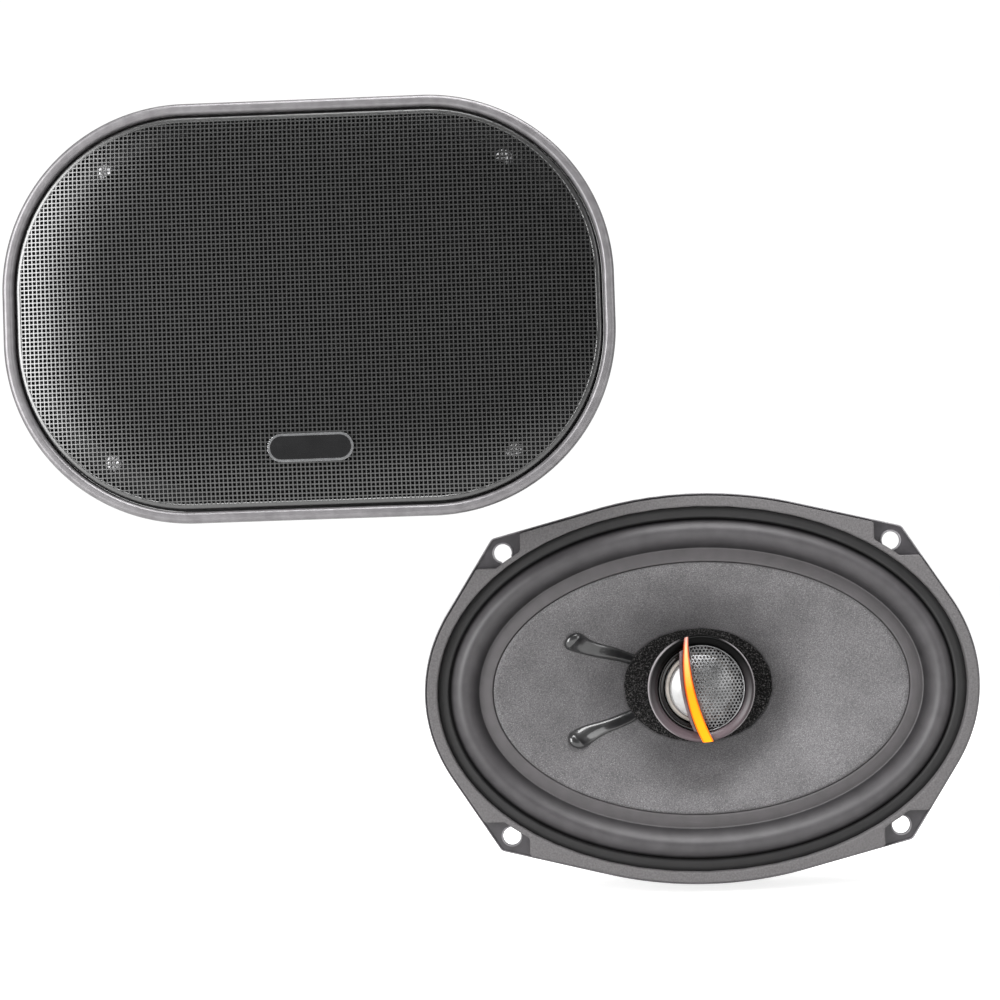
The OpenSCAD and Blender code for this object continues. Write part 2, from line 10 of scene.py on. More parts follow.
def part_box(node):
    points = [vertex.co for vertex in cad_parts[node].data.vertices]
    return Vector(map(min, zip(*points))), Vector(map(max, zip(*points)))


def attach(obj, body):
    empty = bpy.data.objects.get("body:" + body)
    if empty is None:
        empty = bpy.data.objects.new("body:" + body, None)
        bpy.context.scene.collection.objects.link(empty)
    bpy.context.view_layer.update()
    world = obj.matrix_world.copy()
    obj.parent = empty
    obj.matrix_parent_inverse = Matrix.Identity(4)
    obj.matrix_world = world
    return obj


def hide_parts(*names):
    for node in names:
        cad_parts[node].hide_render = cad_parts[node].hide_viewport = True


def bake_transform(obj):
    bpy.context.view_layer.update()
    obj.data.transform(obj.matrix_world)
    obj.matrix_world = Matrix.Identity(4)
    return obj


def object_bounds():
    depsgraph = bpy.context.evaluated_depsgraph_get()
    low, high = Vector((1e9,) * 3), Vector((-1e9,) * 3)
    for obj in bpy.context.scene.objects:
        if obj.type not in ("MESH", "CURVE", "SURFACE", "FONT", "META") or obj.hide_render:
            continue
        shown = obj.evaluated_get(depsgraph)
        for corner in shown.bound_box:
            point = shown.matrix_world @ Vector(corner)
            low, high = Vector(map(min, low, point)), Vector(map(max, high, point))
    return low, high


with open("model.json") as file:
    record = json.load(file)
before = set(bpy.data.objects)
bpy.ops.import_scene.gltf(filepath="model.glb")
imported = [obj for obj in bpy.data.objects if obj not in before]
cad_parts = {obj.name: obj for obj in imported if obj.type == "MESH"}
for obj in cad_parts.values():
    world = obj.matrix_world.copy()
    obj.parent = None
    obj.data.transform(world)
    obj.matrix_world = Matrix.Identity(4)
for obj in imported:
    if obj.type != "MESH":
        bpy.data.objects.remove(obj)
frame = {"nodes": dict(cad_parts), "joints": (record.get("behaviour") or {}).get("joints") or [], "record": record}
cad_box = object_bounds()
scene = bpy.context.scene

# Shapes are drawn in millimetres on the speaker's axis, x to the right, y up and z to the
# front, as part.scad draws them. MM turns them into metres.
MM = 0.001
TURN = 2 * math.pi


def half_size(node):
    """Half the width and half the height of a CAD node, in millimetres."""
    low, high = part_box(node)
    return (high.x - low.x) / 2 / MM, (high.z - low.z) / 2 / MM


def front_of(node):
    return -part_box(node)[0].y / MM


def back_of(node):
    return -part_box(node)[1].y / MM


# The grille stands off its seat by the whole travel of its joint
FIT = next(j for j in frame["joints"] if j["name"] == "grille_fit")
SEATED = Vector((0, 0, 0))
STOOD_OFF = -Vector(FIT["axis"]) * FIT["range_m"][1]

# Oval cone and the bands round it, as offsets outwards from the cone's edge
CONE_A, CONE_B = half_size("cone")
CONE_DEPTH = 30
EDGE_Z = front_of("cone")
CONE_CURVE = 1.5
CONE_T = 1.3
NECK_R = 16.5
ROLL_IN, ROLL_OUT = 6.4, 18.6
FOOT_OUT = 23.9
FLANGE_OUT = half_size("basket")[0] - CONE_A
EAR_X, EAR_Y = 83.5, 61.0
CORNER_X, CORNER_Y, EAR_R = EAR_X + 2.7, EAR_Y + 3.45, 3.2
FLANGE_Z = 1.5
FOOT_Z = 2.4
ROLL_H = 5.0
SKIN_T = 0.9

# Tweeter
BEZEL_R = half_size("tweeter_bezel")[0]
MOUTH_R = 18.7
BEZEL_Z = front_of("tweeter_bezel")
DOME_Z, DOME_H, DOME_R, DOME_T = -1.0, 4.2, 12.9, 0.3
RING_IN, RING_OUT, GAP_OUT, STEP_OUT = 13.7, 15.3, 16.1, 18.4
SCREEN_RIM_R, SCREEN_DOME_R = 18.6, 14.6
SCREEN_Z, SCREEN_H = 3.2, 4.5
SCREEN_EDGE = (91.35, 19.0, 96.3)   # centre x, y and radius of its edge beside the blade
SCREEN_PITCH, SCREEN_HOLE_R, SCREEN_T = 1.55, 0.53, 0.5
BLADE_EDGES = (64.2, 9.0, 72.0), (91.15, 19.0, 96.3)   # centre x, y and radius of both its sides

# Grille
GRILLE_W, GRILLE_H = (2 * v for v in half_size("grille_trim"))
GRILLE_R = 77.5
TRIM_Z = front_of("grille_trim") + STOOD_OFF.y / MM
SEAT_Z = back_of("grille_trim") + STOOD_OFF.y / MM
MESH_INSET = 5.7
MESH_LOW, MESH_TOP, MESH_RUN, MESH_BEND = SEAT_Z + 7.2, SEAT_Z + 11, 40.0, 2.4
MESH_FOOT = SEAT_Z + 1.6
MESH_PITCH, MESH_MOUTH, MESH_HOLE, MESH_T = 1.8, 1.36, 1.0, 0.6
MESH_PLAIN = 0.4            # least plain metal between the holes and the edge
CLOTH_REACH, CLOTH_GAP = 27.0, 1.3


# ---- geometry helpers ----
def in_frame(points, home):
    """Points drawn in millimetres, as metres in the row frame."""
    p = np.asarray(points, float)
    return np.stack([p[:, 0], -p[:, 2], p[:, 1]], 1) * MM + np.array(home)


def angles(count):
    return np.arange(count) * TURN / count


def oval(offset, a):
    """The cone's edge moved outwards by offset, at the normal angles a."""
    c, s = np.cos(a), np.sin(a)
    reach = np.sqrt((CONE_A * c) ** 2 + (CONE_B * s) ** 2)
    return np.stack([CONE_A**2 * c / reach + offset * c, CONE_B**2 * s / reach + offset * s], 1)


def eared(offset, radius, a):
    """The same oval pulled out over the four ears."""
    c, s = np.cos(a), np.sin(a)
    reach = np.sqrt((CONE_A * c) ** 2 + (CONE_B * s) ** 2) + offset
    ear_reach = np.abs(c) * CORNER_X + np.abs(s) * CORNER_Y + radius
    ears = np.stack([np.sign(c) * CORNER_X + radius * c, np.sign(s) * CORNER_Y + radius * s], 1)
    return np.where((ear_reach > reach)[:, None], ears, oval(offset, a))


def cone_point(t, a):
    """Point of the cone's front: t runs from its edge, 0, to its neck, 1."""
    ring = oval(0, a) * (1 - t) + NECK_R * np.stack([np.cos(a), np.sin(a)], 1) * t
    return np.column_stack([ring, np.full(len(a), cone_z(t))])


def cone_z(t):
    return EDGE_Z - CONE_DEPTH * t**CONE_CURVE


def track(inset, a):
    """The grille's outline, pulled in by inset."""
    c, s = np.cos(a), np.sin(a)
    return np.stack([np.sign(c) * (GRILLE_W / 2 - GRILLE_R) + (GRILLE_R - inset) * c,
                     np.sign(s) * (GRILLE_H / 2 - GRILLE_R) + (GRILLE_R - inset) * s], 1)


def inset_of(x, y):
    """How far a point lies inside the grille's outline."""
    qx = np.abs(x) - (GRILLE_W / 2 - GRILLE_R)
    qy = np.abs(y) - (GRILLE_H / 2 - GRILLE_R)
    beyond = np.hypot(np.maximum(qx, 0), np.maximum(qy, 0))
    return GRILLE_R - np.where((qx > 0) | (qy > 0), beyond, np.maximum(qx, qy))


def mesh_z(inset):
    u = np.clip((inset - MESH_INSET) / MESH_RUN, 0, 1)
    return MESH_LOW + (MESH_TOP - MESH_LOW) * (1 - (1 - u) ** MESH_BEND)


def filleted(line, radius):
    """A closed outline with its corners rounded."""
    steps, most = 4, 0.45
    points = [Vector(p) for p in line]
    rounded = []
    for k, corner in enumerate(points):
        before = points[k - 1] - corner
        after = points[(k + 1) % len(points)] - corner
        cut = min(radius, before.length * most, after.length * most)
        start, end = corner + before.normalized() * cut, corner + after.normalized() * cut
        for i in range(steps + 1):
            u = i / steps
            rounded.append(start * (1 - u) ** 2 + corner * 2 * u * (1 - u) + end * u**2)
    return rounded


def grid_faces(rows, columns, closed):
    """Faces between rings of points. Closed joins the last ring to the first."""
    faces = []
    for j in range(rows if closed else rows - 1):
        k = (j + 1) % rows
        for i in range(columns):
            h = (i + 1) % columns
            faces.append((j * columns + i, j * columns + h, k * columns + h, k * columns + i))
    return faces


def piece(name, points, faces, material, body, home=SEATED, smooth=True):
    """A mesh object that rides on a body."""
    mesh = bpy.data.meshes.new(name)
    corners = [tuple(int(i) for i in face) for face in faces]
    mesh.from_pydata(in_frame(points, home).tolist(), [], corners)
    solid = bmesh.new()
    solid.from_mesh(mesh)
    bmesh.ops.recalc_face_normals(solid, faces=solid.faces)
    solid.to_mesh(mesh)
    solid.free()
    mesh.materials.append(material)
    mesh.polygons.foreach_set("use_smooth", [smooth] * len(mesh.polygons))
    obj = bpy.data.objects.new(name, mesh)
    scene.collection.objects.link(obj)
    if smooth:
        obj.modifiers.new("even_normals", "WEIGHTED_NORMAL").keep_sharp = True
    if body:
        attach(obj, body)
    return obj


def loft(name, rings, material, body, closed=True, home=SEATED):
    """A skin through rings of points."""
    faces = grid_faces(len(rings), len(rings[0]), closed)
    return piece(name, np.concatenate(rings), faces, material, body, home)


def lathe(name, profile, material, body, count=160, home=SEATED, centre=(0, 0)):
    """A closed profile of (radius, z), turned round an axis parallel to the speaker's."""
    circle = np.column_stack([np.cos(angles(count)), np.sin(angles(count))])
    rings = [np.column_stack([centre + r * circle, np.full(count, z)]) for r, z in profile]
    return loft(name, rings, material, body, home=home)


def band(name, outline, profile, material, body, home=SEATED):
    """A closed profile of (offset, z), drawn along an outline."""
    rings = [np.column_stack([outline(d), np.full(len(outline(d)), z)]) for d, z in profile]
    return loft(name, rings, material, body, home=home)


def tube_points(route, radius):
    """Rings of points round a route, and the route itself made smooth."""
    sides, steps = 14, 12
    route = np.asarray(route, float)
    spans = len(route) - 1
    fine = np.linspace(0, spans, steps * spans + 1)
    path = np.stack([smooth_curve(route[:, k], fine) for k in range(3)], 1)
    heading = np.gradient(path, axis=0)
    heading /= np.linalg.norm(heading, axis=1)[:, None]
    side = np.cross(heading, (0.0, 1.0, 0.0))
    side /= np.linalg.norm(side, axis=1)[:, None]
    up = np.cross(heading, side)
    a = angles(sides)
    rings = [p + radius * (np.cos(a)[:, None] * s + np.sin(a)[:, None] * u)
             for p, s, u in zip(path, side, up)]
    return rings, path


def smooth_curve(values, at):
    """Catmull-Rom curve through the values."""
    before, after = 2 * values[0] - values[1], 2 * values[-1] - values[-2]
    padded = np.concatenate([[before], values, [after]])
    k = np.clip(at.astype(int), 0, len(values) - 2)
    u = at - k
    p0, p1, p2, p3 = padded[k], padded[k + 1], padded[k + 2], padded[k + 3]
    return 0.5 * (2 * p1 + (p2 - p0) * u + (2 * p0 - 5 * p1 + 4 * p2 - p3) * u**2
                  + (3 * p1 - p0 - 3 * p2 + p3) * u**3)


# ---- material helpers ----
def rgb(red, green, blue):
    """Display values from 0 to 255 as a linear colour."""
    linear = [v / 12.92 if v <= 0.04045 else ((v + 0.055) / 1.055) ** 2.4
              for v in (red / 255, green / 255, blue / 255)]
    return (*linear, 1.0)


def link(material, output, target):
    material.node_tree.links.new(output, target)


def add(material, kind, inputs=(), **settings):
    """A node, with its inputs set to values or linked to other nodes' outputs."""
    node = material.node_tree.nodes.new(kind)
    for key, value in settings.items():
        setattr(node, key, value)
    for key, value in dict(inputs).items():
        if isinstance(value, bpy.types.NodeSocket):
            link(material, value, node.inputs[key])
        else:
            node.inputs[key].default_value = value
    return node


def new_material(name, sockets):
    material = bpy.data.materials.new(name)
    material.use_nodes = True
    shader = material.node_tree.nodes["Principled BSDF"]
    for key, value in sockets.items():
        shader.inputs[key].default_value = value
    return material, shader


def place(material):
    return add(material, "ShaderNodeTexCoord").outputs["Object"]


def maths(material, operation, first, second=0.5):
    node = add(material, "ShaderNodeMath", {0: first, 1: second}, operation=operation)
    return node.outputs["Value"]


def spread(material, value, low, high, to_low=0.0, to_high=1.0):
    """A value that runs from low to high, made to run from to_low to to_high."""
    node = add(material, "ShaderNodeMapRange", {
        "Value": value, "From Min": low, "From Max": high, "To Min": to_low, "To Max": to_high})
    return node.outputs["Result"]


def flattened(material):
    """A point's place with its depth left out."""
    node = add(material, "ShaderNodeVectorMath", {0: place(material), 1: (1, 0, 1)},
               operation="MULTIPLY")
    return node.outputs["Vector"]


def noise(material, size, detail=2.0, roughness=0.5):
    """Noise whose grains are about size millimetres."""
    node = add(material, "ShaderNodeTexNoise", {
        "Vector": place(material), "Scale": 1 / (size * MM), "Detail": detail,
        "Roughness": roughness})
    return node.outputs["Fac"]


def ramp(material, factor, *stops):
    """Colours at their places along a factor."""
    node = add(material, "ShaderNodeValToRGB", {"Fac": factor})
    elements = node.color_ramp.elements
    while len(elements) < len(stops):
        elements.new(0.5)
    for element, (at, colour) in zip(elements, stops):
        element.position = at
        element.color = colour
    return node.outputs["Color"]


def relief(material, shader, height, depth):
    """Bump of a depth in millimetres."""
    node = add(material, "ShaderNodeBump", {
        "Height": height, "Distance": depth * MM, "Strength": 1.0})
    link(material, node.outputs["Normal"], shader.inputs["Normal"])


def mix(material, factor, first, second):
    """The first colour or socket where factor is 0, and the second where it is 1."""
    node = material.node_tree.nodes.new("ShaderNodeMix")
    node.data_type = "RGBA"
    colours = [i for i in node.inputs if i.type == "RGBA"]
    targets = node.inputs["Factor"], *colours
    for target, value in zip(targets, (factor, first, second)):
        if isinstance(value, bpy.types.NodeSocket):
            link(material, value, target)
        else:
            target.default_value = value
    return next(o for o in node.outputs if o.type == "RGBA")


def coloured(material, shader, factor, *stops):
    """The shader's colour is a ramp along a factor."""
    link(material, ramp(material, factor, *stops), shader.inputs["Base Color"])


def grained(name, dark, light, mottle, grain, depth, sockets, detail=3.0):
    """Colour that drifts between dark and light over mottle millimetres, with grains of relief."""
    material, shader = new_material(name, sockets)
    coloured(material, shader, noise(material, mottle, detail), (0.3, dark), (0.7, light))
    relief(material, shader, noise(material, grain, 3.0, 0.6), depth)
    return material


# ---- materials ----
# Painted shade: this attribute darkens the surround's rubber in its creases.
SHADE = "shade"             # the attribute that holds each point's shade
BLACK, WHITE = (0, 0, 0, 1), (1, 1, 1, 1)


def cone_paper():
    """Pressed pulp: fine grain, a slow mottle and scattered mica flecks."""
    fleck_size = 0.8 * MM
    material, shader = new_material("cone_paper", {
        "Roughness": 0.62, "Sheen Weight": 0.25, "Sheen Roughness": 0.4,
        "Specular IOR Level": 0.45})
    pulp = ramp(material, noise(material, 0.55, 3.0, 0.6),
                (0.38, rgb(66, 65, 66)), (0.62, rgb(95, 93, 95)))
    cloud = ramp(material, noise(material, 16.0),
                 (0.35, (0.86, 0.86, 0.86, 1)), (0.65, (1.1, 1.1, 1.1, 1)))
    ground = add(material, "ShaderNodeVectorMath", {0: pulp, 1: cloud}, operation="MULTIPLY")
    fleck = add(material, "ShaderNodeTexVoronoi", {
        "Vector": place(material), "Scale": 1 / fleck_size})
    spark = ramp(material, fleck.outputs["Distance"], (0.08, WHITE), (0.22, BLACK))
    flecked = mix(material, spark, ground.outputs["Vector"], rgb(132, 130, 132))
    link(material, flecked, shader.inputs["Base Color"])
    relief(material, shader, noise(material, 0.5, 5.0, 0.7), 0.12)
    return material


def rubber(name, dark, light, roughness):
    """Moulded rubber with painted shade: its colour and its gloss are darkened in its creases by each point's
    shade value.
    """
    gloss = 0.5
    material, shader = new_material(name, {"Roughness": roughness, "Specular IOR Level": gloss})
    ground = ramp(material, noise(material, 7.0, 3.0), (0.3, dark), (0.7, light))
    shade = add(material, "ShaderNodeAttribute", attribute_name=SHADE).outputs["Fac"]
    tinted = add(material, "ShaderNodeVectorMath", {0: ground, "Scale": shade}, operation="SCALE")
    link(material, tinted.outputs["Vector"], shader.inputs["Base Color"])
    link(material, maths(material, "MULTIPLY", shade, gloss), shader.inputs["Specular IOR Level"])
    relief(material, shader, noise(material, 0.5, 3.0, 0.6), 0.03)
    return material


def felt():
    """Matted black fibres."""
    material, shader = new_material("felt", {
        "Roughness": 0.95, "Sheen Weight": 0.05, "Sheen Roughness": 0.6, "Specular IOR Level": 0.1})
    fibres = noise(material, 0.7, 3.0, 0.7)
    coloured(material, shader, fibres,
             (0.42, rgb(2, 2, 2)), (0.52, rgb(10, 10, 10)), (0.64, rgb(80, 78, 78)))
    relief(material, shader, fibres, 0.7)
    return material


BAND_SCALE = 0.314          # a wave texture of this scale has one band a metre


def bands(material, direction, pitch, inputs=()):
    """Bands across a direction, one every pitch millimetres."""
    wave = add(material, "ShaderNodeTexWave", {
        "Vector": place(material), "Scale": BAND_SCALE / (pitch * MM), **dict(inputs)},
        wave_type="BANDS", bands_direction=direction)
    return wave.outputs["Fac"]


def woven(name, warp, weft, pitch, depth, sockets):
    """Cloth whose threads cross every pitch millimetres."""
    material, shader = new_material(name, sockets)
    uneven = {"Distortion": 0.6, "Detail": 1.0, "Detail Scale": 2.0}
    threads = [bands(material, direction, pitch, uneven) for direction in "XZ"]
    cross = maths(material, "MULTIPLY", *threads)
    coloured(material, shader, cross, (0.0, warp), (0.7, weft))
    relief(material, shader, cross, depth)
    return material


def wound(name, dark, light, pitch, depth, sockets):
    """Wire wound side by side along the speaker's axis."""
    material, shader = new_material(name, sockets)
    turns = bands(material, "Y", pitch)
    coloured(material, shader, turns, (0.1, dark), (0.7, light))
    relief(material, shader, turns, depth)
    return material


def plated(name, dark, light, roughness):
    """Plated or bare metal with a faint cloud and fine scratches."""
    grain = 1.2
    material, shader = new_material(name, {"Metallic": 1.0, "Roughness": roughness})
    coloured(material, shader, noise(material, 6.0, 3.0), (0.3, dark), (0.7, light))
    wear = spread(material, noise(material, grain, 4.0), 0.3, 0.7, roughness * 0.8, roughness * 1.3)
    link(material, wear, shader.inputs["Roughness"])
    relief(material, shader, noise(material, grain, 4.0, 0.6), 0.015)
    return material


def accent_orange():
    """Gloss plastic: orange, with a painted highlight that pales the middle of its upper half, redder along both
    edges, and a faint painted glow from its colour as emission.
    """
    material, shader = new_material("accent_orange", {
        "Roughness": 0.4, "Specular IOR Level": 0.15, "Emission Strength": 0.22})
    low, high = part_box("accent_blade")
    height = add(material, "ShaderNodeSeparateXYZ", {0: place(material)}).outputs["Z"]
    share = spread(material, height, low.z, high.z)
    # Painted highlight: the middle turns pale up its upper half.
    middle = ramp(material, share,
                  (0.0, rgb(246, 150, 0)), (0.3, rgb(244, 138, 0)), (0.5, rgb(240, 132, 14)),
                  (0.75, rgb(238, 154, 84)), (0.92, rgb(214, 164, 128)), (1.0, rgb(176, 158, 152)))
    border = ramp(material, share, (0.0, rgb(228, 104, 0)), (0.4, rgb(170, 56, 0)),
                  (0.9, rgb(150, 48, 10)), (1.0, rgb(150, 100, 90)))
    flat = flattened(material)
    to_edge = []
    for cx, cy, radius in BLADE_EDGES:
        reach = add(material, "ShaderNodeVectorMath", {0: flat, 1: (cx * MM, 0, cy * MM)},
                    operation="DISTANCE").outputs["Value"]
        gap = maths(material, "SUBTRACT", reach, radius * MM)
        to_edge.append(maths(material, "ABSOLUTE", gap))
    inner = spread(material, maths(material, "MINIMUM", *to_edge), 0.2 * MM, 0.9 * MM)
    colour = mix(material, inner, border, middle)
    link(material, colour, shader.inputs["Base Color"])
    # Painted glow: the colour also drives the emission.
    link(material, colour, shader.inputs["Emission Color"])
    relief(material, shader, noise(material, 2.0), 0.01)
    return material


def bezel_black():
    """Satin black with a painted reflection, grey towards the bottom of the ring and black at the top, its gloss
    falling towards the top, and a painted highlight on its outer edge at the sides.
    """
    material, shader = new_material("bezel_black", {"Roughness": 0.34})
    spot = add(material, "ShaderNodeSeparateXYZ", {0: place(material)}).outputs
    share = spread(material, spot["Z"], -BEZEL_R * MM, BEZEL_R * MM)
    # Painted reflection: plum grey towards the bottom of the ring, black towards the top.
    tint = ramp(material, share,
                (0.05, rgb(82, 71, 75)), (0.4, rgb(40, 36, 38)), (0.75, rgb(4, 4, 4)))
    # Painted highlight along the outer edge, strongest at the sides.
    reach = add(material, "ShaderNodeVectorMath", {0: flattened(material)}, operation="LENGTH")
    outer = spread(material, reach.outputs["Value"], (BEZEL_R - 0.7) * MM, (BEZEL_R - 0.3) * MM)
    across = maths(material, "ABSOLUTE", spot["X"])
    aside = spread(material, across, 8 * MM, 16 * MM, to_high=0.8)
    edge_highlight = mix(material, maths(material, "MULTIPLY", outer, aside), tint, rgb(150, 146, 148))
    link(material, edge_highlight, shader.inputs["Base Color"])
    gloss = spread(material, share, 0.3, 0.8, 0.3, 0.06)
    link(material, gloss, shader.inputs["Specular IOR Level"])
    relief(material, shader, noise(material, 1.5, 3.0), 0.008)
    return material


def make_materials():
    """A material for each slot of the record, and for pieces that only the picture needs."""
    return {
        "black_steel": grained("black_steel", rgb(42, 40, 43), rgb(58, 55, 59), 5.0, 0.35, 0.03,
                               {"Roughness": 0.38, "Specular IOR Level": 0.6}),
        "gasket_foam": grained("gasket_foam", rgb(74, 72, 73), rgb(92, 90, 91), 0.8, 0.4, 0.14,
                               {"Roughness": 0.7, "Specular IOR Level": 0.35}, 5.0),
        "surround_rubber": rubber("surround_rubber", rgb(50, 48, 50), rgb(60, 58, 60), 0.5),
        # The foot is a darker copy of the roll's rubber: painted shade cast by the gasket's inner wall.
        "surround_foot": rubber("surround_foot", rgb(17, 16, 17), rgb(24, 23, 24), 0.6),
        "surround_ledge": rubber("surround_ledge", rgb(63, 61, 62), rgb(70, 67, 69), 0.64),
        "cone_paper": cone_paper(),
        "felt": felt(),
        "former_paper": grained("former_paper", rgb(176, 132, 82), rgb(204, 164, 112),
                                3.0, 0.4, 0.03, {"Roughness": 0.7}),
        "copper_wire": wound("copper_wire", rgb(96, 40, 20), rgb(208, 116, 66), 0.35, 0.08,
                             {"Metallic": 0.85, "Roughness": 0.3, "Coat Weight": 0.4}),
        "spider_cloth": woven("spider_cloth", rgb(104, 78, 34), rgb(170, 138, 76), 0.5, 0.15,
                              {"Roughness": 0.8, "Sheen Weight": 0.2}),
        "black_glue": grained("black_glue", rgb(22, 22, 23), rgb(32, 32, 33), 3.0, 3.0, 0.15,
                              {"Roughness": 0.3, "Coat Weight": 0.8, "Coat Roughness": 0.06}),
        "tinsel": woven("tinsel", rgb(120, 70, 30), rgb(220, 160, 96), 0.35, 0.08,
                        {"Roughness": 0.4, "Metallic": 0.7}),
        "zinc_steel": plated("zinc_steel", rgb(160, 162, 166), rgb(192, 194, 196), 0.34),
        "ferrite": grained("ferrite", rgb(44, 44, 47), rgb(64, 64, 68), 2.0, 0.5, 0.06,
                           {"Roughness": 0.75}, 5.0),
        "phenolic": grained("phenolic", rgb(98, 60, 34), rgb(130, 84, 50), 1.5, 0.4, 0.02,
                            {"Roughness": 0.5}),
        "tab_brass": plated("tab_brass", rgb(214, 202, 160), rgb(232, 222, 188), 0.25),
        "bright_metal": plated("bright_metal", rgb(196, 197, 199), rgb(220, 221, 223), 0.16),
        "rivet_bright": plated("rivet_bright", rgb(240, 240, 242), rgb(252, 252, 253), 0.45),
        "capacitor_film": grained("capacitor_film", rgb(36, 70, 140), rgb(48, 88, 166),
                                  5.0, 1.5, 0.02, {"Roughness": 0.28, "Coat Weight": 0.3}),
        "strap_nylon": grained("strap_nylon", rgb(206, 204, 196), rgb(222, 221, 214),
                               3.0, 0.6, 0.02, {"Roughness": 0.5}),
        "lead_jacket": grained("lead_jacket", rgb(132, 20, 18), rgb(160, 30, 26), 4.0, 0.6, 0.02,
                               {"Roughness": 0.45}),
        "black_plastic": grained("black_plastic", rgb(22, 22, 23), rgb(32, 32, 34), 2.0, 0.35, 0.04,
                                 {"Roughness": 0.55}),
        "dome_silver": grained("dome_silver", rgb(160, 160, 160), rgb(178, 178, 178),
                               4.0, 0.5, 0.01,
                               {"Roughness": 0.32, "Coat Weight": 0.3, "Coat Roughness": 0.15}),
        "ring_grey": grained("ring_grey", rgb(124, 118, 112), rgb(146, 140, 134), 3.0, 0.4, 0.02,
                             {"Roughness": 0.45}),
        "gloss_black": grained("gloss_black", rgb(12, 12, 13), rgb(18, 18, 19), 6.0, 4.0, 0.01,
                               {"Roughness": 0.16, "Coat Weight": 0.5, "Coat Roughness": 0.05}),
        "screen_silver": plated("screen_silver", rgb(100, 100, 101), rgb(136, 136, 137), 0.4),
        "accent_orange": accent_orange(),
        "rail_plum": grained("rail_plum", rgb(70, 58, 62), rgb(88, 74, 78), 4.0, 1.0, 0.01,
                             {"Roughness": 0.25, "Coat Weight": 0.4}),
        "bezel_black": bezel_black(),
        # Lighter copy of the black steel for the flange lip and hole rims: a painted highlight where the raised
        # edges catch the light.
        "steel_edge": grained("steel_edge", rgb(100, 98, 101), rgb(122, 120, 123), 5.0, 0.35, 0.02,
                              {"Roughness": 0.36, "Specular IOR Level": 0.6}),
        "trim_grey": grained("trim_grey", rgb(100, 98, 100), rgb(116, 114, 116), 4.0, 0.3, 0.015,
                             {"Roughness": 0.38, "Metallic": 0.5, "Specular IOR Level": 0.6}),
        "mesh_black": grained("mesh_black", rgb(20, 20, 20), rgb(30, 30, 30), 4.0, 0.3, 0.02,
                              {"Roughness": 0.3, "Specular IOR Level": 0.9, "Coat Weight": 0.4,
                               "Coat Roughness": 0.25}),
        "cloth_black": woven("cloth_black", rgb(6, 6, 6), rgb(12, 12, 12), 0.4, 0.05,
                             {"Roughness": 0.95}),
    }


materials = make_materials()
slot_of = {row["node"]: row["material_slot"] for row in frame["record"]["subparts"]}


def finish_node(node, edge=0.0):
    """Gives a CAD node its material, and its edges a small rounding in millimetres."""
    obj = frame["nodes"][node]
    obj.data.materials.clear()
    obj.data.materials.append(materials[slot_of[node]])
    if edge:
        obj.modifiers.new("weld", "WELD").merge_threshold = 0.002 * MM
        round_off = obj.modifiers.new("round_edges", "BEVEL")
        round_off.width = edge * MM
        round_off.segments = 3
        round_off.limit_method = "ANGLE"
        round_off.angle_limit = math.radians(35)
        round_off.use_clamp_overlap = True
        even = obj.modifiers.new("even_normals", "WEIGHTED_NORMAL")
        even.keep_sharp = True
        even.weight = 80


def stands_for(obj, *nodes):
    """The piece replaces CAD nodes, which are hidden."""
    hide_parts(*nodes)
    return obj


# ---- flange ----
def flange_lip():
    """Thin raised edge of pressed metal round the flange."""
    a = angles(360) + math.pi / 360
    profile = filleted([(-0.55, FLANGE_Z - 0.2), (-0.05, FLANGE_Z - 0.2), (-0.05, FLANGE_Z + 1.1),
                        (-0.55, FLANGE_Z + 1.1)], 0.2)
    obj = band("flange_lip", lambda d: eared(FLANGE_OUT + d, EAR_R + d, a), profile,
               materials["steel_edge"], "speaker")


HOLE_R, HOLE_FLAT, HOLE_REACH = 3.8, 4.8, 4.9
HOLE_WAY = 0.5, 0.9         # which way the flat side faces: this much inwards, this much up or down


def four_corners():
    """The sides and the name of each mounting hole, and of each rivet of the grille."""
    for side_x, across in ((-1, "left"), (1, "right")):
        for side_y, level in ((-1, "low"), (1, "high")):
            yield side_x, side_y, f"{across}_{level}"


def hole_outline(offset, side_x, side_y):
    """A mounting hole: round, with a flat side towards the cone."""
    least = 1e-6
    a = angles(120) + least
    round_part = np.full(len(a), HOLE_R + offset)
    flat_part = np.minimum((HOLE_REACH + offset) / np.maximum(np.cos(a), least),
                           (HOLE_FLAT / 2 + offset) / np.abs(np.sin(a)))
    reach = np.where(np.cos(a) > 0, np.maximum(round_part, flat_part), round_part)
    turn = math.atan2(-side_y * HOLE_WAY[1], -side_x * HOLE_WAY[0])
    return np.stack([side_x * EAR_X + reach * np.cos(a + turn),
                     side_y * EAR_Y + reach * np.sin(a + turn)], 1)


def hole_rims():
    """Pressed rim round each mounting hole."""
    profile = filleted([(0.02, FLANGE_Z - 0.3), (0.75, FLANGE_Z - 0.3), (0.75, FLANGE_Z + 0.25),
                        (0.02, FLANGE_Z + 0.4)], 0.3)
    for side_x, side_y, corner in four_corners():
        obj = band(f"hole_rim_{corner}", lambda d: hole_outline(d, side_x, side_y), profile,
                   materials["steel_edge"], "speaker")


# ---- surround, cone and what is glued to it ----
ROUND = angles(240)


def roll_line(count, drop):
    """The half roll, from its inner foot to its outer foot, lowered by drop."""
    line = []
    for k in range(count + 1):
        u = (1 - math.cos(math.pi * k / count)) / 2
        rise = math.sin(math.pi * u)
        z = EDGE_Z * (1 - u) + FOOT_Z * u + ROLL_H * rise
        line.append((ROLL_IN + (ROLL_OUT - ROLL_IN) * u, z - drop * (1 - 0.15 * rise)))
    return line


def eased(u):
    """0 to 1 with a level start and end."""
    return u * u * (3 - 2 * u)


def crease_shade(reach, at, inward, outward, darkest):
    """Painted shade: 1 away from a crease, falling to darkest in it."""
    gap = np.where(reach < at, (at - reach) / inward, (reach - at) / outward)
    return darkest + (1 - darkest) * eased(np.clip(gap, 0, 1))


